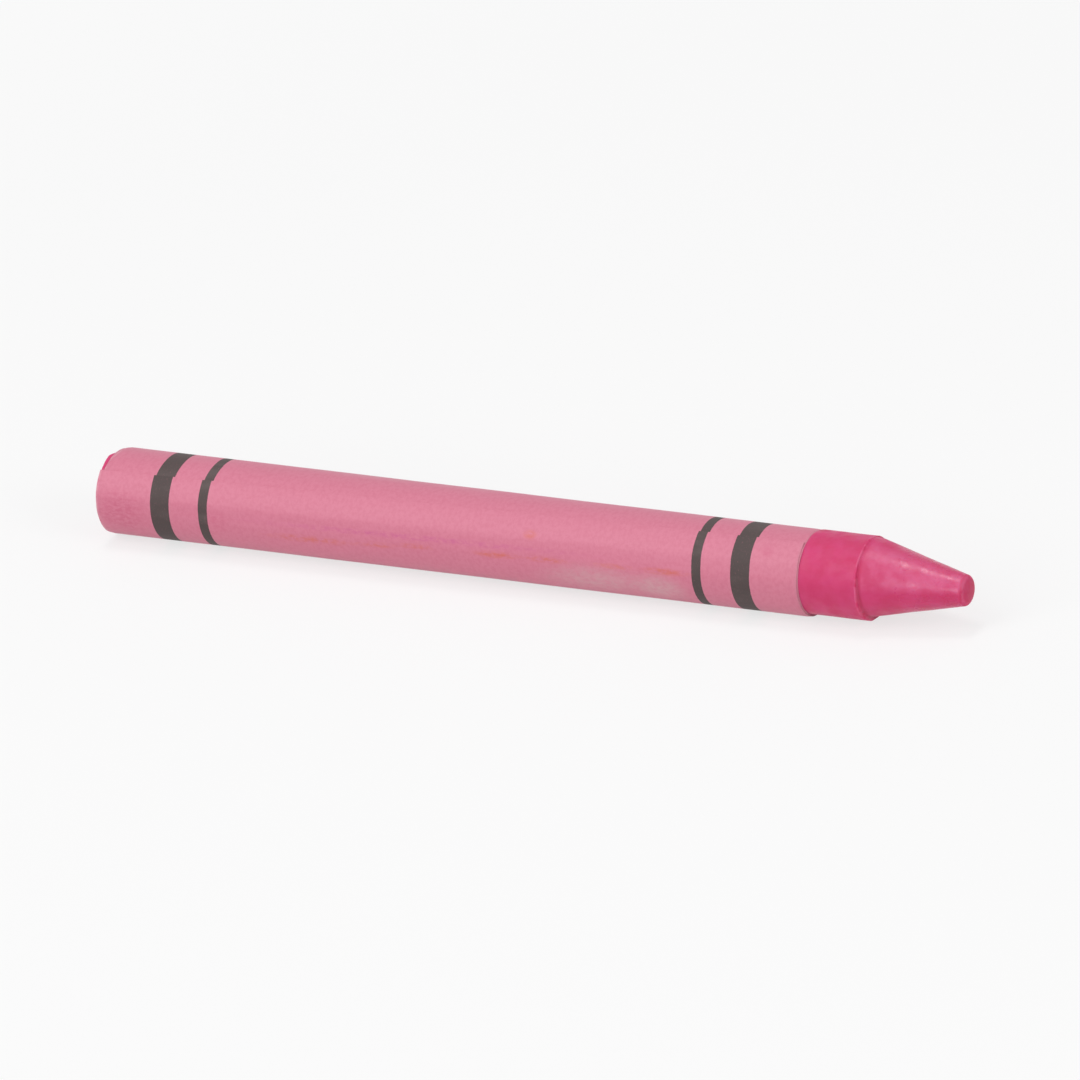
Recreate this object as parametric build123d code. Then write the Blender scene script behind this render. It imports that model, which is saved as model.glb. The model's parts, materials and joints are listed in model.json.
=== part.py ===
from build123d import *
import math
import os

# Wax crayon: a moulded wax stick, the paper label rolled round it, and the dried paste that holds it.
# Millimetres, +Z up. The crayon lies on its side along X with its tip at +X, and the origin is on
# the surface that it lies on, under the middle of its length.

# Driving dimensions of the wax stick
crayon_length = 90.0        # base face to tip face
stick_diameter = 7.88       # bare wax
base_edge_radius = 0.25     # rounded edge of the base face
cone_length = 9.7           # shoulder to tip face
ledge_width = 0.22          # step from the shoulder's edge in to the foot of the cone
shoulder_edge_radius = 0.08
ledge_root_radius = 0.08
ledge_share = 0.4           # most of the ledge that either of these roundings may take
tip_diameter = 2.84         # where the cone's slope reaches the tip face
tip_edge_radius = 0.45

# Driving dimensions of the paper label
base_margin = 0.1           # bare wax between the rounded base edge and the label
collar_length = 6.2         # bare wax between the label and the shoulder
paper_thickness = 0.06
label_turns = 2             # whole turns before the paper laps over its own start
lap_length = 2.2            # from the starting edge, under the paper, on to the free edge
climb_length = 1.2          # arc along which the paper climbs on to the layer below
seam_angle = 119.0          # place of the free edge, in degrees from +Y towards +Z

# Driving dimensions of the paste
paste_thickness = 0.02
paste_margin = 1.0          # dry paper at both ends of the label

# Worked-out sizes, measured along the axis from the base face
stick_radius = stick_diameter / 2
shoulder_position = crayon_length - cone_length
label_start = base_edge_radius + base_margin
label_end = shoulder_position - collar_length
layer_pitch = paper_thickness + paste_thickness
barrel_radius = stick_radius + label_turns * layer_pitch
lap_sweep = math.degrees(lap_length / barrel_radius)
climb_sweep = math.degrees(climb_length / barrel_radius)
roll_sweep = 360 * label_turns + lap_sweep

# The crayon's own frame: local Z runs along the axis from base to tip, local X is +Y, local Y is +Z
lying = Plane(origin=(-crayon_length / 2, 0, barrel_radius), x_dir=(0, 1, 0), z_dir=(1, 0, 0))


def wax_stick():
    """Half section of the moulded stick turned about its axis."""
    foot_of_cone = stick_radius - ledge_width
    ledge_limit = ledge_share * ledge_width
    corners = [
        (0, 0),
        (stick_radius, 0),
        (stick_radius, shoulder_position),
        (foot_of_cone, shoulder_position),
        (tip_diameter / 2, crayon_length),
        (0, crayon_length),
    ]
    corner_radii = [
        base_edge_radius,
        min(shoulder_edge_radius, ledge_limit),
        min(ledge_root_radius, ledge_limit),
        tip_edge_radius,
    ]
    outline = FilletPolyline(*corners, radius=corner_radii)
    half_section = make_face(outline.edges() + [Line(corners[-1], corners[0])])
    return lying * revolve(Plane.XZ * half_section, Axis.Z)


def polar(radius, angle):
    """Point at a radius and an angle in degrees about the axis."""
    return Vector(radius * math.cos(math.radians(angle)), radius * math.sin(math.radians(angle)))


def climb_curve(radius, start_angle):
    """Smooth step outwards by one layer, tangent to the round layers that it joins."""
    end_angle = start_angle - climb_sweep
    handle = 4 / 3 * math.tan(math.radians(climb_sweep / 4))
    start = polar(radius, start_angle)
    end = polar(radius + layer_pitch, end_angle)
    leave = start + polar(handle * radius, start_angle - 90)
    arrive = end + polar(handle * (radius + layer_pitch), end_angle + 90)
    return Bezier(start, leave, arrive, end)


def roll_curves(radius):
    """One side of the rolled sheet, from its starting edge round to its free edge."""
    curves = []
    angle = seam_angle + roll_sweep
    for turn in range(label_turns):
        layer_radius = radius + turn * layer_pitch
        curves.append(CenterArc((0, 0), layer_radius, angle, climb_sweep - 360))
        curves.append(climb_curve(layer_radius, angle + climb_sweep - 360))
        angle -= 360
    curves.append(CenterArc((0, 0), radius + label_turns * layer_pitch, angle, -lap_sweep))
    return curves


def rolled_sheet(inner_radius, thickness, start, end):
    """Sheet rolled in a stepped spiral, between two places along the axis."""
    inside = roll_curves(inner_radius)
    outside = roll_curves(inner_radius + thickness)
    edges = inside + outside
    edges.append(Line(inside[0] @ 0, outside[0] @ 0))
    edges.append(Line(inside[-1] @ 1, outside[-1] @ 1))
    section = make_face(edges)
    return lying * Pos(0, 0, start) * extrude(section, amount=end - start)


def paste_film():
    """Paste on the wax and between the layers, short of the label's ends."""
    return rolled_sheet(stick_radius, paste_thickness, label_start + paste_margin, label_end - paste_margin)


def paper_label():
    """Printed sheet, rolled over the paste."""
    return rolled_sheet(stick_radius + paste_thickness, paper_thickness, label_start, label_end)


nodes = {
    "wax_stick": wax_stick(),
    "paste_film": paste_film(),
    "paper_label": paper_label(),
}

os.makedirs("parts", exist_ok=True)
for name, solid in nodes.items():
    export_step(solid, f"parts/{name}.step")
    print(f"{name}: {solid.volume:.2f} mm3")

label_length = label_end - label_start
cut_width = nodes["paper_label"].volume / (paper_thickness * label_length)
print(f"label cut to {label_length:.1f} x {cut_width:.1f} mm, rolled to a radius of {barrel_radius:.2f} mm")
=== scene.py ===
# %% [markdown]
# A wax crayon, cell by cell.
# A crayon is a stick of cast wax in a paper label, which is rolled round it and pasted down. This
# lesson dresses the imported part. It makes the wax and the paper again as fine meshes, gives every
# finish its own nodes, and lights the crayon on a pale floor. Sizes are in millimetres until a point is
# placed, and a placed point is in metres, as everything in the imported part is.

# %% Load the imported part
import json
import math
import bpy
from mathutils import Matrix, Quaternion, Vector, noise

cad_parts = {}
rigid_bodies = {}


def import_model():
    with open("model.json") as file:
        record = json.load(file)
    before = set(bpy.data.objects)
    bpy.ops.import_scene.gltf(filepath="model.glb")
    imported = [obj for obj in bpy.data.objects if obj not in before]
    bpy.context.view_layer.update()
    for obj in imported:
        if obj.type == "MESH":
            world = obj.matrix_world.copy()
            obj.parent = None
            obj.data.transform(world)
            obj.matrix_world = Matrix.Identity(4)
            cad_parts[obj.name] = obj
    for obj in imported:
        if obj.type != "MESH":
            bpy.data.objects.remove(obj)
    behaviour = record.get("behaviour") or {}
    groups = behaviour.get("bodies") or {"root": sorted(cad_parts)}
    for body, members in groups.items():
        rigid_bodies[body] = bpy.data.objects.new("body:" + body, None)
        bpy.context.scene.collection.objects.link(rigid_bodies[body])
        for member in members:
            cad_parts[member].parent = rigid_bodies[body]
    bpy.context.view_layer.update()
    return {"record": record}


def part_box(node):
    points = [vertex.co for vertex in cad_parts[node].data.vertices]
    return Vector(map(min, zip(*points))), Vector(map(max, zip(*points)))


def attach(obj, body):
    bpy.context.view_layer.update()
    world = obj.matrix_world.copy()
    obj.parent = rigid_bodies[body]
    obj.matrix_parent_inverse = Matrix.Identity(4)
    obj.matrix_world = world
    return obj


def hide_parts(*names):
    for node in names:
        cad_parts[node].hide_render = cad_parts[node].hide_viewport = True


for leftover in list(bpy.data.objects):
    bpy.data.objects.remove(leftover)

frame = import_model()

# %% [markdown]
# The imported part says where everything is, so the sizes that it can give are read from it. The crayon
# lies along X with its tip at +X. A place on it is told by three numbers: how far along it is from the
# base, how far out from the axis, and the angle about the axis, from +Y towards +Z.

# %% Read the main sizes
mm = 0.001
wax_low, wax_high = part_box("wax_stick")
label_low, label_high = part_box("paper_label")
barrel = next(mount for mount in frame["record"]["mounts"] if mount["name"] == "barrel")

base_x = wax_low.x
axis_z = barrel["pos_m"][2]
crayon_length = (wax_high.x - wax_low.x) / mm
stick_radius = (wax_high.y - wax_low.y) / 2 / mm
barrel_radius = barrel["dims"]["r_mm"]
label_start = (label_low.x - base_x) / mm
label_end = (label_high.x - base_x) / mm
label_length = label_end - label_start


def at(along, out, angle):
    """Place on the crayon in metres, from millimetres along and out and an angle in degrees."""
    turn = math.radians(angle)
    return Vector((base_x + along * mm, out * mm * math.cos(turn), axis_z + out * mm * math.sin(turn)))


print(f"wax {crayon_length:.2f} x {2 * stick_radius:.2f} mm")
print(f"label {label_start:.2f} to {label_end:.2f} mm")

# %% [markdown]
# The wax is poured into a mould, so it is round and plain: a flat base, a straight stick, a narrow
# ledge, and a cone with a small flat tip. A lathe shape suits it. It could be a Screw modifier on a
# curve, but here the rings are made in code, because each point then also gets the small unevenness of
# cast wax. The outline has one line for each corner, with its rounding and with the size of the steps
# on the straight run that follows it.

# %% Outline of the wax stick
cone_length = 9.7
ledge_width = 0.22
tip_radius = 1.42
base_rounding = 0.25
shoulder_rounding = 0.08
root_rounding = 0.08
tip_rounding = 0.45
foot_of_cone = stick_radius - ledge_width
shoulder = crayon_length - cone_length
covered = 0.5
arc_step = 10
fewest_steps = 4

wax_corners = [
    # along, out, rounding, step
    (0, 0, 0, 0.3),
    (0, stick_radius, base_rounding, 0.1),
    (label_start + covered, stick_radius, 0, 2.5),
    (label_end - covered, stick_radius, 0, 0.14),
    (shoulder - covered, stick_radius, 0, 0.06),
    (shoulder, stick_radius, shoulder_rounding, 0.03),
    (shoulder, foot_of_cone, root_rounding, 0.06),
    (shoulder + covered, foot_of_cone - covered * (foot_of_cone - tip_radius) / cone_length, 0, 0.13),
    (crayon_length, tip_radius, tip_rounding, 0.12),
    (crayon_length, 0, 0, 0),
]


def rounded_corner(before, corner, after, rounding):
    """Points of the arc that rounds a corner, about one arc step, in degrees, apart."""
    back = (before - corner).normalized()
    ahead = (after - corner).normalized()
    half_angle = back.angle(ahead) / 2
    reach = rounding / math.tan(half_angle)
    centre = corner + (back + ahead).normalized() * (rounding / math.sin(half_angle))
    first = (corner + back * reach - centre).normalized()
    last = (corner + ahead * reach - centre).normalized()
    count = max(fewest_steps, round(math.degrees(math.pi - 2 * half_angle) / arc_step))
    return [centre + first.slerp(last, i / count) * rounding for i in range(count + 1)]


def outline_points(corners):
    """Points along an outline of runs and rounded corners, and the place of each corner's middle."""
    points = []
    middles = []
    spots = [Vector(corner[:2]) for corner in corners]
    for i, (_, _, rounding, step) in enumerate(corners):
        arc = [spots[i]]
        if rounding:
            arc = rounded_corner(spots[i - 1], spots[i], spots[i + 1], rounding)
        if points:
            run = arc[0] - points[-1]
            count = max(1, round(run.length / run_step))
            points += [points[-1] + run * k / count for k in range(1, count)]
        points += arc
        middles.append(arc[len(arc) // 2])
        run_step = step
    return points, middles


wax_outline, wax_middles = outline_points(wax_corners)
base_edge, shoulder_edge, ledge_root, tip_edge = (wax_middles[i] for i in (1, 5, 6, 8))
print(f"outline of {len(wax_outline)} points")

# %% [markdown]
# Cast wax is never quite true. It shrinks as it sets, which leaves shallow dents, and it was bent a
# little when it was pushed into its label: the bare end is a shade fuller than the rest and stands a
# little to one side. Its cone leans, so the ledge is narrow on one side and broad on the other. The
# edge of the shoulder is worn back and ragged. The base isn't quite square, and it is chipped on the
# side that takes the knocks. All of this moves points by tenths or hundredths of a millimetre. Under
# the label the wax stays round.

# %% Turn the outline into the wax stick
wax_segments = 192
dent_size = 2.6
dent_depth = 0.022
ripple_size = 0.7
ripple_depth = 0.006
fuller = 0.05
aside = 0.16
aside_angle = 60
lean_at_foot = 0.155
lean_at_tip = -0.11
shoulder_worn = 0.2
ragged_size = 0.9
ragged_depth = 0.07
ragged_reach = 0.5
# side, sweep and soft edge in degrees, depth in millimetres
wax_worn = (55, 43, 20, 0.85)
worn_reach = 3.0
base_askew = 0.1
askew_angle = 105
chip_fade = 3
bare_blend = 0.3
other_noise = Vector((9, 0, 0))
sharp_angle = 50


def smooth_step(start, end, value):
    """Rises smoothly from 0 at start to 1 at end."""
    share = min(max((value - start) / (end - start), 0), 1)
    return share * share * (3 - 2 * share)


def bare_share(along):
    """1 where the wax shows, 0 under the label."""
    return 1 - smooth_step(0, covered, min(along - label_start, label_end - along))


def bare_end(along):
    """0 under the label, 1 on the bare end at the tip."""
    return smooth_step(label_end - bare_blend, label_end + bare_blend, along)


def near_base(along):
    """1 at the base, fading out a little way along."""
    return max(0, 1 - along / worn_reach) ** 2


def worn_in(along, angle, side, sweep, edge, depth):
    """How far the base end is worn down, in millimetres, within a sweep about one side."""
    off = abs((angle - side + 180) % 360 - 180)
    return depth * smooth_step(sweep, sweep - edge, off) * near_base(along)


def stands_out(along, angle):
    """How far the rim of the base stands out past its even plane, in millimetres."""
    return base_askew * math.cos(math.radians(angle - askew_angle)) * near_base(along)


def cast_unevenness(spot, in_mould):
    """How far the wax stands out at a place in the mould, in millimetres."""
    dents = noise.noise(in_mould / dent_size) * dent_depth
    ripples = noise.noise(in_mould / ripple_size) * ripple_depth
    return (dents + ripples) * bare_share(spot.x)


def ragged_edge(spot, in_mould):
    """How far the worn edge of the shoulder strays along and out from its even outline."""
    near = 1 - smooth_step(0, ragged_reach, (spot - shoulder_edge).length)
    patch = in_mould / ragged_size
    ragged = Vector((noise.noise(patch), noise.noise(patch + other_noise))) * ragged_depth
    return (ragged - Vector((shoulder_worn, 0))) * near


def leaning(spot):
    """How far the cone stands aside from the stick that it grows out of, in millimetres."""
    if spot.x < shoulder - root_rounding:
        return 0
    along_cone = (spot.x - shoulder) / cone_length
    lean = lean_at_foot + (lean_at_tip - lean_at_foot) * along_cone
    return lean * smooth_step(stick_radius, foot_of_cone, spot.y)


def outline_normal(i):
    """Direction out of the wax at a point of its outline."""
    ahead = wax_outline[min(i + 1, len(wax_outline) - 1)]
    tangent = (ahead - wax_outline[max(i - 1, 0)]).normalized()
    return Vector((-tangent.y, tangent.x))


def wax_ring(i):
    """One ring of points about the axis."""
    ring = []
    normal = outline_normal(i)
    for k in range(wax_segments):
        angle = 360 * k / wax_segments
        in_mould = (at(wax_outline[i].x, wax_outline[i].y, angle) - at(0, 0, 0)) / mm
        moved = wax_outline[i] + normal * cast_unevenness(wax_outline[i], in_mould)
        moved += ragged_edge(wax_outline[i], in_mould)
        moved.x += worn_in(moved.x, angle, *wax_worn) * (moved.y / stick_radius) ** chip_fade
        moved.x -= stands_out(moved.x, angle) * moved.y / stick_radius
        moved.y += fuller * bare_end(moved.x) * (moved.y > foot_of_cone + root_rounding)
        pushed = at(0, aside * bare_end(moved.x) + leaning(wax_outline[i]), aside_angle) - at(0, 0, 0)
        ring.append(at(moved.x, moved.y, angle) + pushed)
    return ring


def piece_from(name, points, faces):
    """New mesh object in the scene, smooth but for its sharp edges."""
    mesh = bpy.data.meshes.new(name)
    mesh.from_pydata(points, [], faces)
    mesh.validate()
    mesh.shade_smooth()
    mesh.set_sharp_from_angle(angle=math.radians(sharp_angle))
    piece = bpy.data.objects.new(name, mesh)
    bpy.context.scene.collection.objects.link(piece)
    return piece


def cast_wax():
    """The wax stick as rings joined by quads and closed at both ends by fans."""
    inner = range(1, len(wax_outline) - 1)
    points = [point for i in inner for point in wax_ring(i)]
    faces = []
    for ring in range(len(inner) - 1):
        for k in range(wax_segments):
            here = ring * wax_segments + k
            beside = ring * wax_segments + (k + 1) % wax_segments
            faces.append((here, beside, beside + wax_segments, here + wax_segments))
    base_centre = len(points)
    tip_centre = base_centre + 1
    points += [at(0, 0, 0), at(crayon_length, aside + lean_at_tip, aside_angle)]
    last_ring = (len(inner) - 1) * wax_segments
    for k in range(wax_segments):
        beside = (k + 1) % wax_segments
        faces.append((base_centre, beside, k))
        faces.append((tip_centre, last_ring + k, last_ring + beside))
    return piece_from("cast_wax", points, faces)


wax = cast_wax()
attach(wax, "root")
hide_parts("wax_stick")
print(f"{wax.name}: {len(wax.data.vertices)} points, {len(wax.data.polygons)} faces")

# %% [markdown]
# Finishes need to know where edges and hollows are: an edge is rubbed pale, and the ledge's root is
# painted a deeper colour, a painted shade in that hollow. Nodes can guess this from the shape, but an
# attribute on the mesh is exact and travels with the piece. Each point keeps its distance, in
# millimetres, from the nearest edge and from the ledge's root. The distances are taken on the even
# outline, before the wax was bent.

# %% Mark the edges and hollows of the wax
def add_numbers(piece, name, values):
    """Stores one number for each point of a mesh."""
    piece.data.attributes.new(name, "FLOAT", "POINT").data.foreach_set("value", values)


def nearest(spot, corners):
    """Distance from a place on the outline to the nearest of some corners."""
    return min((spot - corner).length for corner in corners)


def for_each_point(corners):
    """That distance for each point of the wax, ring by ring and then for the two ends."""
    rings = [nearest(spot, corners) for spot in wax_outline[1:-1] for _ in range(wax_segments)]
    return rings + [nearest(wax_outline[0], corners), nearest(wax_outline[-1], corners)]


add_numbers(wax, "edge_distance", for_each_point([base_edge, shoulder_edge, tip_edge]))
add_numbers(wax, "root_distance", for_each_point([ledge_root]))
print("attributes:", [attribute.name for attribute in wax.data.attributes if not attribute.is_internal])

# %% [markdown]
# The label is one strip of paper, rolled twice round the stick and lapped over its own start. A plain
# tube would do from far off, but the real seam shows: the paper climbs over its starting edge, a free
# edge stands up along the whole crayon, and the printed bands don't quite meet there, because the strip
# was rolled a little askew. Towards the base it also slants just behind the seam, which bares some wax,
# while its free corner is a little long. The strip isn't cut square either, so its seam leans round the
# crayon. So the mesh is the strip itself, with a thickness, followed by roll angle.

# %% Shape of the rolled strip
paper_thickness = 0.06
paste_thickness = 0.02
label_turns = 2
lap_length = 2.2
climb_length = 1.2
seam_at_base = 126.0
seam_at_tip = 108.6
slip_at_base = 0.24
slip_at_tip = 0.07
seam_step = 0.115
slant = 0.36
# the same four numbers as for the wax
label_worn = (60, 100, 100, 0.32)
label_long = 0.14
slant_turns = (-0.03, 0.12)
held_turns = (0.6, 0.2)

layer_pitch = (barrel_radius - stick_radius) / label_turns
lap_sweep = math.degrees(lap_length / barrel_radius)
climb_sweep = math.degrees(climb_length / barrel_radius)
full_roll = 360 * label_turns
roll_sweep = full_roll + lap_sweep


def layer_out(roll):
    """How far out the strip's inner face lies, at an angle rolled from its starting edge."""
    turn = min(int(roll // 360), label_turns)
    out = stick_radius + paste_thickness + turn * layer_pitch
    if turn < label_turns:
        out += layer_pitch * smooth_step(360 - climb_sweep, 360, roll - 360 * turn)
    return out


def roll_length(roll):
    """Length of paper rolled up to an angle, in millimetres."""
    return math.radians(roll) * (stick_radius + layer_pitch * roll / (2 * 360))


def seam_at(along):
    """Angle of the free edge about the axis, at a distance from the label's base end."""
    return seam_at_base + (seam_at_tip - seam_at_base) * along / label_length


def slip(roll, along):
    """How far the strip has slid towards the base, in millimetres."""
    end_share = along / label_length
    outer_turn = (roll - roll_sweep) / 360 + 1
    slanted = slant * max(0, 1 - 2 * end_share) * smooth_step(*slant_turns, outer_turn)
    long_end = label_long * near_base(along)
    held_back = (seam_step + slanted + long_end) * smooth_step(*held_turns, outer_turn)
    return slip_at_base + (slip_at_tip - slip_at_base) * end_share + long_end - held_back


strip_width = roll_length(roll_sweep)
print(f"strip of {label_length:.1f} x {strip_width:.1f} mm, rolled by {roll_sweep:.1f} degrees")

# %% [markdown]
# Rolled paper has small faults that make it look like paper. Its cut ends waver, and the one at the
# base is worn back on one side. The paper stands off the stick a little here and there, its free edge
# lifts where the paste missed it, most of all at the corners, and its ends are pressed down on the wax.
# The swelling grows over the first turn, so the layers keep clear of each other, and it fades out where
# the crayon rests on the floor.

# %% Faults of the rolled strip
waver = 0.03
waver_size = 1.6
waver_apart = 7.3
waver_row = 0.5
end_hold = 8
swell = 0.03
swell_round = 2.2
swell_along = 9.0
swell_rolls = (180, 360)
edge_lift = 0.015
patch_length = 5
patch_row = 3.7
corner_lift = 0.04
corner_reach = 2.5
lift_sweep = 12.0
end_press = 0.05
end_reach = 0.5
floor_angle = 270
rest_sweep = 25


def end_waver(roll, end):
    """How far a cut end strays along the crayon, in millimetres."""
    return waver * noise.noise(Vector((roll_length(roll) / waver_size, waver_apart * end, waver_row)))


def swelling(roll, along, angle):
    """How far the paper stands off the layer below, in millimetres."""
    turn = math.radians(angle)
    spot = Vector((along / swell_along, swell_round * math.cos(turn), swell_round * math.sin(turn)))
    from_floor = abs((angle - floor_angle + 180) % 360 - 180)
    loose = smooth_step(*swell_rolls, roll) * smooth_step(0, rest_sweep, from_floor)
    return swell * (0.5 + 0.5 * noise.noise(spot)) * loose


def lifting(roll, along):
    """How far the free edge lifts, in millimetres."""
    near_edge = smooth_step(roll_sweep - lift_sweep, roll_sweep, roll)
    from_end = min(along, label_length - along)
    corner = corner_lift * math.exp(-from_end / corner_reach)
    patch = edge_lift * max(0, noise.noise(Vector((along / patch_length, patch_row, 0))))
    return near_edge * (corner + patch)


def strip_point(roll, along, height):
    """Place of a point at a height over the strip's inner face."""
    angle = seam_at(along) + roll_sweep - roll
    out = layer_out(roll) + height + swelling(roll, along, angle) + lifting(roll, along)
    out -= end_press * (1 - smooth_step(0, end_reach, min(along, label_length - along)))
    end_share = along / label_length
    strayed = end_waver(roll, 0) * (1 - end_share) ** end_hold
    strayed += end_waver(roll, 1) * end_share ** end_hold
    strayed += worn_in(along, angle, *label_worn) - slip(roll, along)
    return at(label_start + along + strayed, out, angle)


print(f"ends waver by {waver} mm, the free edge lifts by up to {edge_lift + corner_lift:.2f} mm")

# %% [markdown]
# The strip is a grid: roll angle one way, distance along the crayon the other. The hidden first turn
# can be coarse, while the climb, the free edge and both ends get more points. The two faces are joined
# by narrow walls at the four edges, which show the bare paper where it was cut, so they get a material
# slot of their own. Each point also keeps its place on the flat strip, for the print.

# %% Build the label
def stations(marks):
    """Places from the first mark to the last. Each mark gives a place and the step that follows it."""
    places = []
    for (start, step), (end, _) in zip(marks, marks[1:]):
        count = max(1, round((end - start) / step))
        places += [start + (end - start) * i / count for i in range(count)]
    return places + [marks[-1][0]]


def rolled_sheet(name, rolls, alongs, bottom, top):
    """A rolled sheet's two faces and its four edges. Slot 0 is its outer face, slot 1 the rest."""
    across = len(alongs)
    face_size = len(rolls) * across
    flat = [(roll, along) for roll in rolls for along in alongs]
    points = [strip_point(roll, along, height) for height in (bottom, top) for roll, along in flat]
    faces = []
    for i in range(len(rolls) - 1):
        for j in range(across - 1):
            corner = face_size + i * across + j
            faces.append((corner, corner + 1, corner + across + 1, corner + across))
    outer = len(faces)
    for i in range(len(rolls) - 1):
        for j in range(across - 1):
            corner = i * across + j
            faces.append((corner, corner + across, corner + across + 1, corner + 1))
        for corner, flip in ((i * across, True), (i * across + across - 1, False)):
            wall = (corner, corner + across, corner + across + face_size, corner + face_size)
            faces.append(wall[::-1] if flip else wall)
    for j in range(across - 1):
        for corner, flip in ((j, False), (face_size - across + j, True)):
            wall = (corner, corner + 1, corner + 1 + face_size, corner + face_size)
            faces.append(wall[::-1] if flip else wall)
    piece = piece_from(name, points, faces)
    piece.data.polygons.foreach_set("material_index", [0] * outer + [1] * (len(faces) - outer))
    flat_place = [value for roll, along in flat * 2 for value in (roll_length(roll), along, 0)]
    strip_place = piece.data.attributes.new("strip_place", "FLOAT_VECTOR", "POINT")
    strip_place.data.foreach_set("vector", flat_place)
    return piece


hidden_roll = 330
climb_marks = [
    # place, step
    (full_roll - climb_sweep, 1.2),
    (full_roll, 2),
    (roll_sweep - lift_sweep, 1),
    (roll_sweep, 0),
]
paper_rolls = stations([(0, 6), (hidden_roll, 2)] + climb_marks)
base_marks = [(0, 0.1), (1, 0.5), (4, 1)]
tip_marks = [(label_length - 4, 0.5), (label_length - 1, 0.1), (label_length, 0)]
paper_alongs = stations(base_marks + tip_marks)
label = rolled_sheet("rolled_label", paper_rolls, paper_alongs, 0, paper_thickness)
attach(label, "root")
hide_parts("paper_label")
print(f"{label.name}: {len(label.data.vertices)} points, {len(label.data.polygons)} faces")

# %% [markdown]
# The paste is the same strip again, thinner, under the paper and short of its ends. The part has it as
# a piece, and its place follows the paper, so it is rolled by the same function.

# %% Build the paste film
paste_margin = 1.0
paste_alongs = stations([(paste_margin, 1.5), (label_length - paste_margin, 0)])
paste_rolls = stations([(0, 6), (hidden_roll, 4)] + climb_marks)
paste = rolled_sheet("rolled_paste", paste_rolls, paste_alongs, -paste_thickness, 0)
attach(paste, "root")
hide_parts("paste_film")
print(f"{paste.name}: {len(paste.data.vertices)} points, {len(paste.data.polygons)} faces")

# %% [markdown]
# Node trees are long to write out by hand, so a few helpers keep the finishes short. One adds a node
# and sets or links its inputs, one does arithmetic, one lays a colour over another, and one starts a
# group.

# %% Helpers for node trees
def feed(tree, socket, value):
    """Links a socket to an input, or sets the input to a plain value."""
    if isinstance(value, bpy.types.NodeSocket):
        tree.links.new(value, socket)
    else:
        socket.default_value = value


def add_node(tree, kind, inputs, **settings):
    """New node with its settings and inputs."""
    made = tree.nodes.new(kind)
    for name, value in settings.items():
        setattr(made, name, value)
    for name, value in inputs.items():
        feed(tree, made.inputs[name], value)
    return made


def calc(tree, operation, first, second=0.0):
    """Result of a sum of one or two numbers."""
    return add_node(tree, "ShaderNodeMath", {0: first, 1: second}, operation=operation).outputs[0]


def ramp(tree, value, start, end, low=0.0, high=1.0):
    """Number that goes smoothly from low to high while a value goes from start to end."""
    limits = {"Value": value, "From Min": start, "From Max": end, "To Min": low, "To Max": high}
    return add_node(tree, "ShaderNodeMapRange", limits, interpolation_type="SMOOTHSTEP").outputs["Result"]


def lay_over(tree, mask, under, over, blend_type="MIX"):
    """Colour laid over another as far as a mask says."""
    mix = add_node(tree, "ShaderNodeMix", {}, data_type="RGBA", blend_type=blend_type)
    for number, value in ((0, mask), (6, under), (7, over)):
        feed(tree, mix.inputs[number], value)
    return mix.outputs[2]


def texture(tree, place, size, detail=2.0, roughness=0.5, distortion=0.0):
    """Noise with features of about a size in millimetres, from 0 to 1."""
    inputs = {"Vector": place, "Scale": 1 / size, "Detail": detail, "Roughness": roughness}
    inputs["Distortion"] = distortion
    return add_node(tree, "ShaderNodeTexNoise", inputs).outputs["Fac"]


def vector_calc(tree, operation, first, second=(0, 0, 0)):
    """Outputs of a sum of one or two vectors."""
    return add_node(tree, "ShaderNodeVectorMath", {0: first, 1: second}, operation=operation).outputs


def stretched(tree, place, amounts):
    """Place scaled by its own amount along each axis."""
    return vector_calc(tree, "MULTIPLY", place, amounts)["Vector"]


def uneven(tree, height, depth):
    """Normal of a surface that a height from 0 to 1 raises by up to a depth in millimetres."""
    inputs = {"Height": height, "Distance": depth * mm, "Strength": 1.0}
    return add_node(tree, "ShaderNodeBump", inputs).outputs[0]


def stored(tree, name, output):
    """Attribute kept on the mesh."""
    return add_node(tree, "ShaderNodeAttribute", {}, attribute_name=name).outputs[output]


def new_group(name, inputs, outputs):
    """Empty node group with named sockets, and the nodes that stand for them."""
    group = bpy.data.node_groups.new(name, "ShaderNodeTree")
    for socket_name, kind in inputs:
        group.interface.new_socket(socket_name, in_out="INPUT", socket_type=kind)
    for socket_name, kind in outputs:
        group.interface.new_socket(socket_name, in_out="OUTPUT", socket_type=kind)
    return group, group.nodes.new("NodeGroupInput").outputs, group.nodes.new("NodeGroupOutput").inputs


def use_group(tree, group, inputs):
    """Places a group in a tree."""
    return add_node(tree, "ShaderNodeGroup", inputs, node_tree=group).outputs


def empty_material(name):
    """New material and its empty node tree."""
    material = bpy.data.materials.new(name)
    material.use_nodes = True
    material.node_tree.nodes.clear()
    return material, material.node_tree


def new_material(name, shader_values):
    """Material with a Principled shader, whose even values are set on it directly."""
    material, tree = empty_material(name)
    shader = add_node(tree, "ShaderNodeBsdfPrincipled", shader_values)
    add_node(tree, "ShaderNodeOutputMaterial", {"Surface": shader.outputs[0]})
    return material, tree, shader.inputs


number = "NodeSocketFloat"
vector = "NodeSocketVector"
print("helpers ready")

# %% [markdown]
# Paper is a mat of fibres. Close up it has a fine tooth, the ink on it is mottled, and at arm's length
# it is slightly cloudy. The printed face and the cut edges are the same paper, so these effects are one
# node group. The fibres lie along the strip and the clouds along the crayon, so the noise is drawn out
# that way.

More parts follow.
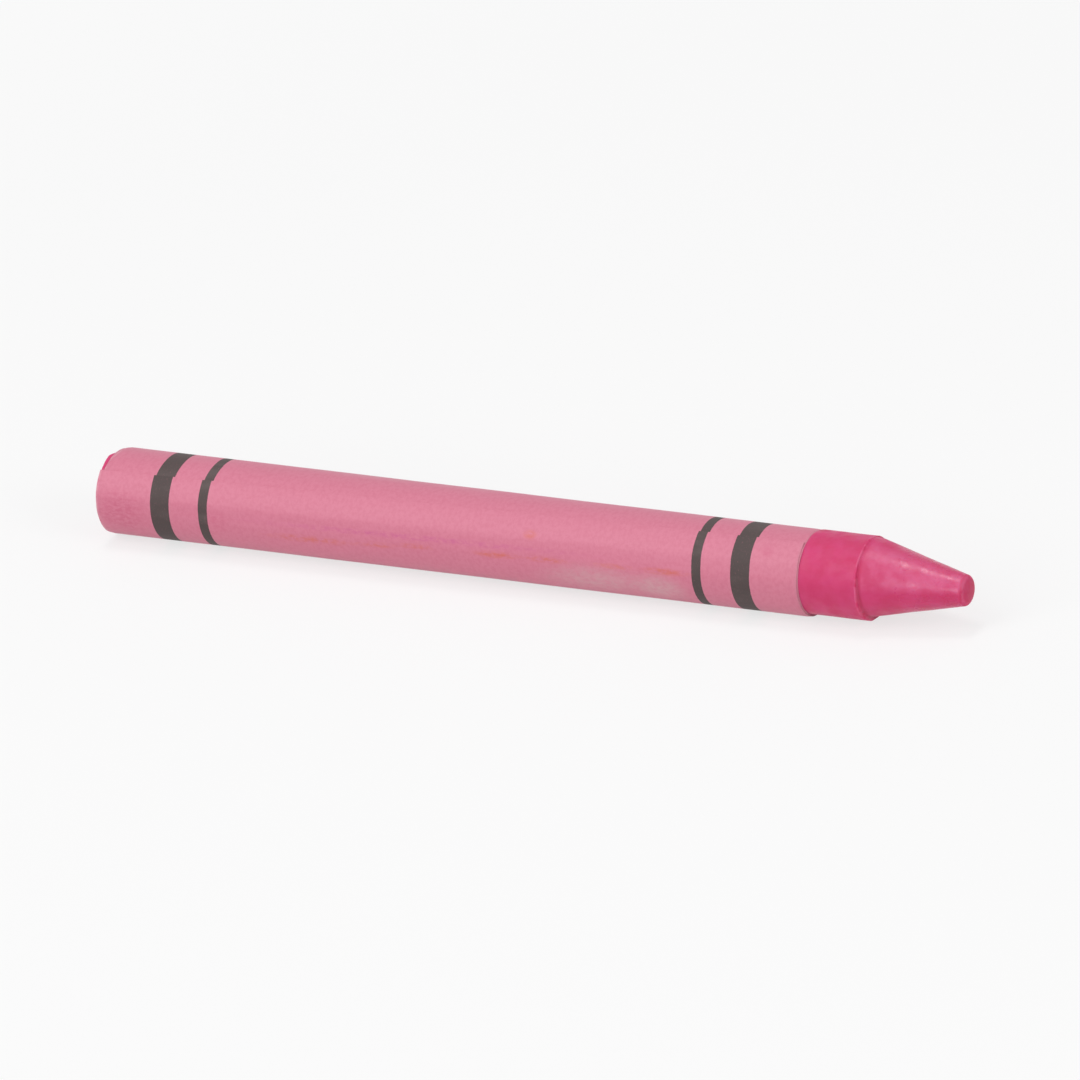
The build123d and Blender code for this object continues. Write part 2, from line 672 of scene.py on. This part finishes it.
# %% Group for the grain of paper
def paper_grain_group():
    """Fine tooth, mottled ink and broad clouds of paper, all from 0 to 1."""
    outputs = [("Tooth", number), ("Mottle", number), ("Cloud", number)]
    group, given, result = new_group("paper_grain", [("Place", vector)], outputs)
    drawn_out = stretched(group, given["Place"], (0.6, 1.3, 1.0))
    tooth = texture(group, drawn_out, size=0.16, detail=3, roughness=0.65, distortion=0.4)
    mottle = texture(group, given["Place"], size=0.45, detail=2, roughness=0.6)
    lengthwise = stretched(group, given["Place"], (1.0, 0.3, 1.0))
    cloud = texture(group, lengthwise, size=2.2, detail=3, roughness=0.55)
    for name, value in (("Tooth", tooth), ("Mottle", mottle), ("Cloud", cloud)):
        feed(group, result[name], value)
    return group


paper_grain = paper_grain_group()
print("group:", paper_grain.name)

# %% [markdown]
# Hands rub every edge of a crayon. On paper the ink goes and the white shows, and on wax the edge turns
# pale. Both are one group: it takes the distance from an edge, wears away what is near, and lets noise
# leave some stretches untouched.

# %% Group for rubbed edges
def rubbed_edge_group():
    """Mask that is 1 on a rubbed edge, broken into patches."""
    inputs = [("Distance", number), ("Reach", number), ("Place", vector), ("Kept", number)]
    group, given, result = new_group("rubbed_edge", inputs, [("Mask", number)])
    softness = 0.16
    patches = texture(group, given["Place"], size=1.3, detail=3, roughness=0.6)
    worn = ramp(group, patches, given["Kept"], calc(group, "ADD", given["Kept"], softness))
    near = ramp(group, given["Distance"], given["Reach"], 0.0)
    feed(group, result["Mask"], calc(group, "MULTIPLY", near, worn))
    return group


rubbed_edge = rubbed_edge_group()
print("group:", rubbed_edge.name)

# %% [markdown]
# A printed band is a stripe between two distances from the label's end. One group draws a stripe, and
# the label uses it twice, for the broad band and for the narrow one. Ink on soft paper spreads a
# little, so the tooth of the paper moves its edge.

# %% Group for a printed band
def printed_band_group():
    """Mask that is 1 between two distances."""
    inputs = [("Distance", number), ("Near", number), ("Far", number)]
    group, given, result = new_group("printed_band", inputs, [("Mask", number)])
    spread = 0.035
    begun = ramp(group, given["Distance"], calc(group, "SUBTRACT", given["Near"], spread), given["Near"])
    past = calc(group, "ADD", given["Far"], spread)
    ended = ramp(group, given["Distance"], given["Far"], past, low=1.0, high=0.0)
    feed(group, result["Mask"], calc(group, "MULTIPLY", begun, ended))
    return group


printed_band = printed_band_group()
print("group:", printed_band.name)

# %% [markdown]
# A crayon that lies loose picks up marks. A rub is a soft streak along the label, long where something
# rolled along it, and broken up because it only catches the tooth of the paper. The group takes the
# streak's middle on the flat strip and its half sizes.

# %% Group for a rub mark
def rub_mark_group():
    """Mask of a soft broken streak on the flat strip."""
    inputs = [("Place", vector), ("Middle", vector), ("Half size", vector)]
    inputs += [("Kept", number), ("Softness", number)]
    group, given, result = new_group("rub_mark", inputs, [("Mask", number)])
    offset = vector_calc(group, "SUBTRACT", given["Place"], given["Middle"])
    shares = vector_calc(group, "DIVIDE", offset["Vector"], given["Half size"])
    size = vector_calc(group, "LENGTH", shares["Vector"])["Value"]
    drawn_out = stretched(group, given["Place"], (1.3, 0.6, 1.0))
    fibres = texture(group, drawn_out, size=0.45, detail=3, roughness=0.65)
    caught = ramp(group, fibres, given["Kept"], calc(group, "ADD", given["Kept"], given["Softness"]))
    feed(group, result["Mask"], calc(group, "MULTIPLY", ramp(group, size, 1.0, 0.1), caught))
    return group


rub_mark = rub_mark_group()
print("group:", rub_mark.name)

# %% [markdown]
# The label is printed on white paper: a flat pink all over, and near each end one broad and one narrow
# band in a warm dark grey. The print sits a little nearer to one end. The bands are placed by distance
# from the nearer end, so one sum serves both ends. Over the print come the marks of use: short streaks
# of orange wax, a pale scuff, and the paper's own colour where the base end is rubbed. There is also a
# darker, deeper pink line along the climb over the strip's own start, and the tip end is greyer.

# %% Printed face of the label
pink_ink = (0.605, 0.166, 0.252, 1)
pink_ink_thin = (0.635, 0.190, 0.280, 1)
pink_ink_thick = (0.565, 0.134, 0.217, 1)
band_ink = (0.050, 0.031, 0.030, 1)
band_ink_scuffed = (0.085, 0.062, 0.060, 1)
bare_white = (0.76, 0.52, 0.55, 1)
orange_wax = (0.60, 0.12, 0.08, 1)
pale_scuff = (0.58, 0.40, 0.41, 1)
climb_line_pink = (0.56, 0.11, 0.25, 1)
red_speck = (0.54, 0.09, 0.18, 1)
tip_end_grey = (0.40, 0.20, 0.23, 1)
broad_band = (5.33, 7.28)
narrow_band = (10.42, 11.35)
print_shift = 0.38
ink_bleed = 0.06
base_rub_reach = 0.28
tip_rub_reach = 0.3
tooth_depth = 0.012

rubs = [
    # colour, strength, angle, middle, half width, half length, kept, softness
    (orange_wax, 0.70, 187, 22.5, 0.60, 6.5, 0.34, 0.35),
    (orange_wax, 0.60, 183, 29.6, 0.45, 3.2, 0.34, 0.35),
    (orange_wax, 0.60, 178.5, 33.8, 0.45, 2.6, 0.34, 0.35),
    (orange_wax, 0.85, 176.5, 42.2, 0.50, 3.2, 0.28, 0.35),
    (orange_wax, 0.75, 175, 47.6, 0.45, 3.4, 0.32, 0.35),
    (orange_wax, 0.60, 173, 54.5, 0.42, 3.2, 0.32, 0.35),
    (orange_wax, 0.85, 172, 60.0, 0.52, 3.4, 0.30, 0.35),
    (orange_wax, 0.65, 144.3, 45.8, 0.65, 1.0, 0.26, 0.35),
    (pale_scuff, 0.50, 198, 52.5, 2.4, 8.0, 0.10, 0.6),
    (pale_scuff, 0.60, 200, 59.2, 2.3, 3.8, 0.10, 0.6),
    # a darker, deeper pink line along the climb over the strip's own start
    (climb_line_pink, 0.90, 166, 34.0, 0.45, 24, 0.36, 0.3),
    (red_speck, 0.70, 183, 2.4, 3.6, 3.8, 0.36, 0.3),
    (red_speck, 0.45, 176, 12.8, 1.6, 1.6, 0.36, 0.3),
    (red_speck, 0.50, 130, 70.4, 0.9, 0.9, 0.26, 0.3),
    (pale_scuff, 0.35, 60, 30, 1.8, 16, 0.30, 0.5),
    (orange_wax, 0.40, 330, 52, 0.5, 9, 0.40, 0.3),
]


def strip_spot(angle, along):
    """Place on the flat strip of a spot on the outer turn."""
    return (roll_length(roll_sweep - (angle - seam_at(along)) % 360), along, 0)


def printed_paper():
    """Pink print with its bands, marks and rubbed ends."""
    material, tree, shader = new_material("printed_paper", {"Specular IOR Level": 0.6})
    place = stored(tree, "strip_place", "Vector")
    along = add_node(tree, "ShaderNodeSeparateXYZ", {0: place}).outputs["Y"]
    from_tip_end = calc(tree, "SUBTRACT", label_length, along)
    grain = use_group(tree, paper_grain, {"Place": place})

    colour = lay_over(tree, ramp(tree, grain["Cloud"], 0.4, 0.7, high=0.5), pink_ink, pink_ink_thin)
    colour = lay_over(tree, ramp(tree, grain["Mottle"], 0.35, 0.75, high=0.5), colour, pink_ink_thin)
    colour = lay_over(tree, ramp(tree, grain["Mottle"], 0.6, 0.25, high=0.5), colour, pink_ink_thick)
    colour = lay_over(tree, ramp(tree, grain["Tooth"], 0.45, 0.3, high=0.4), colour, pink_ink_thick)
    from_base_print = calc(tree, "SUBTRACT", along, print_shift)
    from_print = calc(tree, "MINIMUM", from_base_print, calc(tree, "ADD", from_tip_end, print_shift))
    ink_edge = calc(tree, "ADD", from_print, calc(tree, "MULTIPLY", grain["Tooth"], ink_bleed))
    bands = 0.0
    for near, far in (broad_band, narrow_band):
        drawn = use_group(tree, printed_band, {"Distance": ink_edge, "Near": near, "Far": far})
        bands = calc(tree, "ADD", bands, drawn["Mask"])
    solid_ink = ramp(tree, grain["Tooth"], 0.78, 0.55, low=0.85)
    dark = lay_over(tree, ramp(tree, grain["Cloud"], 0.45, 0.75), band_ink, band_ink_scuffed)
    colour = lay_over(tree, calc(tree, "MULTIPLY", bands, solid_ink), colour, dark)

    for ink, strength, angle, middle, half_width, half_length, kept, softness in rubs:
        inputs = {"Place": place, "Middle": strip_spot(angle, middle), "Kept": kept, "Softness": softness}
        inputs["Half size"] = (half_width, half_length, 1)
        rub = use_group(tree, rub_mark, inputs)
        colour = lay_over(tree, calc(tree, "MULTIPLY", rub["Mask"], strength), colour, ink)

    inputs = {"Distance": along, "Reach": base_rub_reach, "Place": place, "Kept": 0.40}
    rubbed = use_group(tree, rubbed_edge, inputs)
    colour = lay_over(tree, calc(tree, "MULTIPLY", rubbed["Mask"], 0.35), colour, bare_white)
    # the label's tip end is greyed a little
    inputs = {"Distance": from_tip_end, "Reach": tip_rub_reach, "Place": place, "Kept": 0.30}
    handled = use_group(tree, rubbed_edge, inputs)
    colour = lay_over(tree, calc(tree, "MULTIPLY", handled["Mask"], 0.15), colour, tip_end_grey)
    feed(tree, shader["Base Color"], colour)

    rough = ramp(tree, grain["Cloud"], 0.3, 0.7, low=0.46, high=0.54)
    feed(tree, shader["Roughness"], calc(tree, "ADD", rough, calc(tree, "MULTIPLY", bands, 0.2)))
    feed(tree, shader["Normal"], uneven(tree, grain["Tooth"], tooth_depth))
    return material


label.data.materials.append(printed_paper())
print("label printed:", label.data.materials[0].name)

# %% [markdown]
# Where the strip was cut, and on its back, the paper is bare: off-white, with a little of the pink
# soaked in. It uses the same grain as the printed face.

# %% Bare paper of the cut edges
paper_off_white = (0.60, 0.36, 0.40, 1)
paper_soaked = (0.57, 0.24, 0.31, 1)
fibre_depth = 0.02


def bare_paper():
    """Uncoated paper with a little ink soaked in."""
    material, tree, shader = new_material("bare_paper", {"Specular IOR Level": 0.25})
    place = stored(tree, "strip_place", "Vector")
    grain = use_group(tree, paper_grain, {"Place": place})
    soaked = ramp(tree, grain["Cloud"], 0.35, 0.65)
    feed(tree, shader["Base Color"], lay_over(tree, soaked, paper_off_white, paper_soaked))
    feed(tree, shader["Roughness"], ramp(tree, grain["Tooth"], 0.3, 0.7, low=0.72, high=0.85))
    feed(tree, shader["Normal"], uneven(tree, grain["Tooth"], fibre_depth))
    return material


label.data.materials.append(bare_paper())
print("cut edges:", label.data.materials[1].name)

# %% [markdown]
# Crayon wax is dense with pigment, but light still goes a little way in, which softens the edges and
# the shaded side: a small amount of subsurface does that. The cone left the mould with a soft shine,
# while the collar is duller from handling, and so is the cone's foot. The upper front of the cone is
# painted paler, a painted sheen of the lamps above. The tip is blunt and duller from wear, and it is
# painted deeper in colour for the shade on it, with a painted highlight on its far side. The ledge's
# root is painted deeper too, most on the underside, a painted shade in that hollow. Noise in the
# colour, the roughness and the bump gives the cloudy, slightly pitted skin of cast wax, and the edges
# are rubbed pale with the same group as the label's ends.

# %% Cast wax
wax_deep = (0.575, 0.029, 0.130, 1)
wax_light = (0.61, 0.043, 0.168, 1)
# pale wax: real wear on the rubbed edges, and a painted sheen on the upper front of the cone
wax_pale_wear_and_sheen = (0.70, 0.18, 0.33, 1)
# painted shade colour, for the ledge's root and the tip
wax_painted_shade = (0.54, 0.022, 0.10, 1)
# painted highlight colour for the far side of the tip
tip_painted_highlight = (0.55, 0.085, 0.15, 1)
sheen_angle = 129
shade_angle = 210
tip_highlight_angle = 329
sheen_spread = (0.70, 0.93)
collar_roughness = 0.48
cone_roughness = 0.27
shine_reach = 4.5
shoulder_blend = 0.1
cone_blend = 0.3
tip_shade_wear_from = 0.45
tip_shade_wear_to = 0.15
skin_share = 0.06
pit_depth = 0.055


def on_side(tree, from_axis, angle):
    """How far a place off the axis lies towards the side at an angle about it."""
    turn = math.radians(angle)
    return vector_calc(tree, "DOT_PRODUCT", from_axis, (0, math.cos(turn), math.sin(turn)))["Value"]


def cast_wax_finish():
    """Pigmented wax with a patchy sheen on the cone and a duller collar, with a painted sheen on the
    cone's upper front and painted shade at the ledge's root and the tip.
    """
    even = {
        "Subsurface Weight": 0.45,
        "Subsurface Radius": (1.0, 0.3, 0.4),
        "Subsurface Scale": 0.7 * mm,
        "Specular IOR Level": 0.45,
        "IOR": 1.44,
    }
    material, tree, shader = new_material("cast_wax_finish", even)
    metres = add_node(tree, "ShaderNodeTexCoord", {}).outputs["Object"]
    place = stretched(tree, metres, (1 / mm, 1 / mm, 1 / mm))
    x_place = add_node(tree, "ShaderNodeSeparateXYZ", {0: place}).outputs["X"]
    shoulder_x = base_x / mm + shoulder
    tip_x = base_x / mm + crayon_length
    on_cone = ramp(tree, x_place, shoulder_x - shoulder_blend, shoulder_x + cone_blend)
    flow = texture(tree, place, size=1.6, detail=3, roughness=0.5)
    patches = texture(tree, place, size=1.1, detail=2, roughness=0.5)
    skin = texture(tree, place, size=0.25, detail=2, roughness=0.6)

    colour = lay_over(tree, ramp(tree, flow, 0.3, 0.7), wax_deep, wax_light)
    above_axis = vector_calc(tree, "SUBTRACT", place, (0, 0, axis_z / mm))["Vector"]
    outward = vector_calc(tree, "NORMALIZE", stretched(tree, above_axis, (0, 1, 1)))["Vector"]
    # painted sheen: the upper front of the cone is painted paler, as a lamp's sheen would make it
    sheen_side = ramp(tree, on_side(tree, outward, sheen_angle), *sheen_spread)
    sheen_on_cone = calc(tree, "MULTIPLY", sheen_side, on_cone)
    painted_sheen = calc(tree, "MULTIPLY", sheen_on_cone, ramp(tree, flow, 0.3, 0.7, low=0.16, high=0.46))
    colour = lay_over(tree, painted_sheen, colour, wax_pale_wear_and_sheen)
    # painted shade: the ledge's root is painted darker, most on the underside, for the shade in that
    # hollow
    shaded_underside = ramp(tree, on_side(tree, outward, shade_angle), 0.1, 0.6, low=0.1, high=0.9)
    near_root = ramp(tree, stored(tree, "root_distance", "Fac"), 0.28, 0.06)
    root_painted_shade = calc(tree, "MULTIPLY", near_root, shaded_underside)
    # the tip is duller from wear, and its colour is painted darker there as painted shade
    tip_wear_and_shade = ramp(tree, x_place, tip_x - tip_shade_wear_from, tip_x - tip_shade_wear_to)
    painted_shade = calc(tree, "MAXIMUM", root_painted_shade, calc(tree, "MULTIPLY", tip_wear_and_shade, 0.8))
    colour = lay_over(tree, painted_shade, colour, wax_painted_shade)
    # painted highlight: the tip is painted paler on its far side, where its rounding catches the light
    tip_highlight_side = ramp(tree, on_side(tree, above_axis, tip_highlight_angle), -0.4, 0.8, high=0.8)
    colour = lay_over(tree, calc(tree, "MULTIPLY", tip_highlight_side, tip_wear_and_shade), colour, tip_painted_highlight)
    edge = stored(tree, "edge_distance", "Fac")
    rubbed = use_group(tree, rubbed_edge, {"Distance": edge, "Reach": 0.34, "Place": place, "Kept": 0.40})
    colour = lay_over(tree, calc(tree, "MULTIPLY", rubbed["Mask"], 0.4), colour, wax_pale_wear_and_sheen)
    feed(tree, shader["Base Color"], colour)

    shine = (shoulder_x - shoulder_blend, shoulder_x + shine_reach)
    handled = ramp(tree, x_place, *shine, low=collar_roughness, high=cone_roughness)
    dull = calc(tree, "ADD", handled, calc(tree, "MULTIPLY", tip_wear_and_shade, 0.4))
    patchy = ramp(tree, patches, 0.35, 0.65, low=-0.04, high=0.10)
    feed(tree, shader["Roughness"], calc(tree, "ADD", dull, patchy))
    broad = calc(tree, "MULTIPLY", patches, 1 - skin_share)
    height = calc(tree, "ADD", broad, calc(tree, "MULTIPLY", skin, skin_share))
    flattened = calc(tree, "MULTIPLY", height, calc(tree, "SUBTRACT", 1.0, tip_wear_and_shade))
    feed(tree, shader["Normal"], uneven(tree, flattened, pit_depth))
    return material


wax.data.materials.append(cast_wax_finish())
print("wax finish:", wax.data.materials[0].name)

# %% [markdown]
# Dried starch paste is creamy, dull and a little streaky where it was brushed on. Almost none of it
# shows.

# %% Dried paste
paste_thick = (0.72, 0.64, 0.50, 1)
paste_thin = (0.84, 0.79, 0.68, 1)
streak_depth = 0.01


def dried_paste():
    """Starch paste, streaky where it was brushed on."""
    material, tree, shader = new_material("dried_paste", {"Specular IOR Level": 0.35})
    place = stretched(tree, stored(tree, "strip_place", "Vector"), (1.0, 0.3, 1.0))
    streaks = texture(tree, place, size=0.8, detail=3, roughness=0.6)
    feed(tree, shader["Base Color"], lay_over(tree, streaks, paste_thick, paste_thin))
    feed(tree, shader["Roughness"], ramp(tree, streaks, 0.3, 0.7, low=0.55, high=0.75))
    feed(tree, shader["Normal"], uneven(tree, streaks, streak_depth))
    return material


paste.data.materials.append(dried_paste())
paste.data.materials.append(paste.data.materials[0])
print("paste finish:", paste.data.materials[0].name)

# %% [markdown]
# The floor is plain and pale and takes the crayon's shadow. Far from the crayon it fades to pure white,
# so that no edge of it shows. The fade is only for what the camera, a reflection or a clear material
# sees, so it adds no light.

# %% Pale floor
floor_radius = 3.0
fade_start = 0.09
fade_end = 0.30
floor_colour = (0.85, 0.85, 0.85, 1)
near_glow = 0.7
white = (1, 1, 1, 1)


def seen_directly(tree):
    """1 for camera, mirror and glass rays, 0 for the light that falls on things."""
    rays = add_node(tree, "ShaderNodeLightPath", {}).outputs
    mirror_or_glass = calc(tree, "MAXIMUM", rays["Is Glossy Ray"], rays["Is Transmission Ray"])
    return calc(tree, "MAXIMUM", rays["Is Camera Ray"], mirror_or_glass)


def floor_finish():
    """Matte floor that fades to white."""
    material, tree = empty_material("studio_floor")
    metres = add_node(tree, "ShaderNodeTexCoord", {}).outputs["Object"]
    far = vector_calc(tree, "LENGTH", metres)["Value"]
    whiter = ramp(tree, far, fade_start, fade_end, low=near_glow)
    faded = calc(tree, "MULTIPLY", whiter, seen_directly(tree))
    matte = add_node(tree, "ShaderNodeBsdfDiffuse", {"Color": floor_colour}).outputs[0]
    glow = add_node(tree, "ShaderNodeEmission", {"Color": white, "Strength": 1.0}).outputs[0]
    mixed = add_node(tree, "ShaderNodeMixShader", {0: faded, 1: matte, 2: glow}).outputs[0]
    add_node(tree, "ShaderNodeOutputMaterial", {"Surface": mixed})
    return material


def round_floor():
    """Disc under the crayon."""
    sides = 96
    turns = [2 * math.pi * k / sides for k in range(sides)]
    points = [(floor_radius * math.cos(turn), floor_radius * math.sin(turn), 0) for turn in turns]
    floor = piece_from("floor", points, [tuple(range(sides))])
    floor.data.materials.append(floor_finish())
    return floor


floor = round_floor()
print("floor radius:", floor_radius, "m")

# %% [markdown]
# The light is that of a small studio: an even white surround, a large soft lamp above and in front, two
# narrow ones that draw the two bright streaks along the cone, one from above and one from the front,
# and one beyond the tip that keeps the ledge and the ends out of the dark. Together they light a
# surface to about its own colour. An area lamp's power follows from the share of full light that it
# should give and from its distance.

# %% Soft studio light
surround = 0.44
lamps = [
    # name, direction, distance, width, height, share of full light
    ("main_lamp", (-0.45, -0.60, 0.66), 0.9, 0.38, 0.95, 0.39),
    ("top_streak_lamp", (-0.06, 0.02, 1.0), 0.8, 0.25, 0.15, 0.22),
    ("front_streak_lamp", (0.0, -0.94, 0.34), 0.9, 0.25, 0.16, 0.07),
    ("end_lamp", (0.85, -0.25, 0.47), 0.9, 0.4, 0.4, 0.24),
]


def studio_surround():
    """Even white light from all round, and white behind the floor."""
    world = bpy.data.worlds.new("studio_surround")
    world.use_nodes = True
    tree = world.node_tree
    tree.nodes.clear()
    strength = ramp(tree, seen_directly(tree), 0.0, 1.0, surround, 1.0)
    sky = add_node(tree, "ShaderNodeBackground", {"Color": white, "Strength": strength}).outputs[0]
    add_node(tree, "ShaderNodeOutputWorld", {"Surface": sky})
    bpy.context.scene.world = world


def soft_lamp(name, direction, distance, width, height, share):
    """Area lamp that shines at the crayon from a direction, giving a share of full light."""
    lamp = bpy.data.lights.new(name, "AREA")
    lamp.shape = "RECTANGLE"
    lamp.size = width
    lamp.size_y = height
    lamp.energy = share * math.pi ** 2 * distance ** 2
    holder = bpy.data.objects.new(name, lamp)
    bpy.context.scene.collection.objects.link(holder)
    toward = Vector(direction).normalized()
    holder.location = at(crayon_length / 2, 0, 0) + toward * distance
    holder.rotation_euler = toward.to_track_quat("Z", "Y").to_euler()
    holder.visible_camera = False


studio_surround()
for lamp_row in lamps:
    soft_lamp(*lamp_row)
bpy.context.scene.view_settings.view_transform = "Standard"

# %% [markdown]
# The camera looks from in front, a little above and from the tip's side, through a long lens, as a
# product photograph does. It is tilted about its own view line, so that the crayon lies at the same
# slope in the picture.

# %% Camera
camera_azimuth = 30.5
camera_elevation = 27.0
camera_tilt = 8.14
camera_distance = 3.0
frame_width = 0.101
sensor_width = 36.0


def photo_camera():
    """Camera aimed at the middle of the crayon."""
    around = math.radians(camera_azimuth)
    up = math.radians(camera_elevation)
    toward = Vector((math.sin(around) * math.cos(up), -math.cos(around) * math.cos(up), math.sin(up)))
    lens = bpy.data.cameras.new("photo_camera")
    lens.sensor_width = sensor_width
    lens.lens = sensor_width * camera_distance / frame_width
    lens.clip_start = 0.1
    lens.clip_end = 20
    holder = bpy.data.objects.new("photo_camera", lens)
    bpy.context.scene.collection.objects.link(holder)
    holder.location = at(crayon_length / 2, 0, 0) + toward * camera_distance
    holder.rotation_mode = "QUATERNION"
    tilt = Quaternion((0, 0, 1), -math.radians(camera_tilt))
    holder.rotation_quaternion = toward.to_track_quat("Z", "Y") @ tilt
    bpy.context.scene.camera = holder
    return holder


print(f"lens {photo_camera().data.lens:.0f} mm")
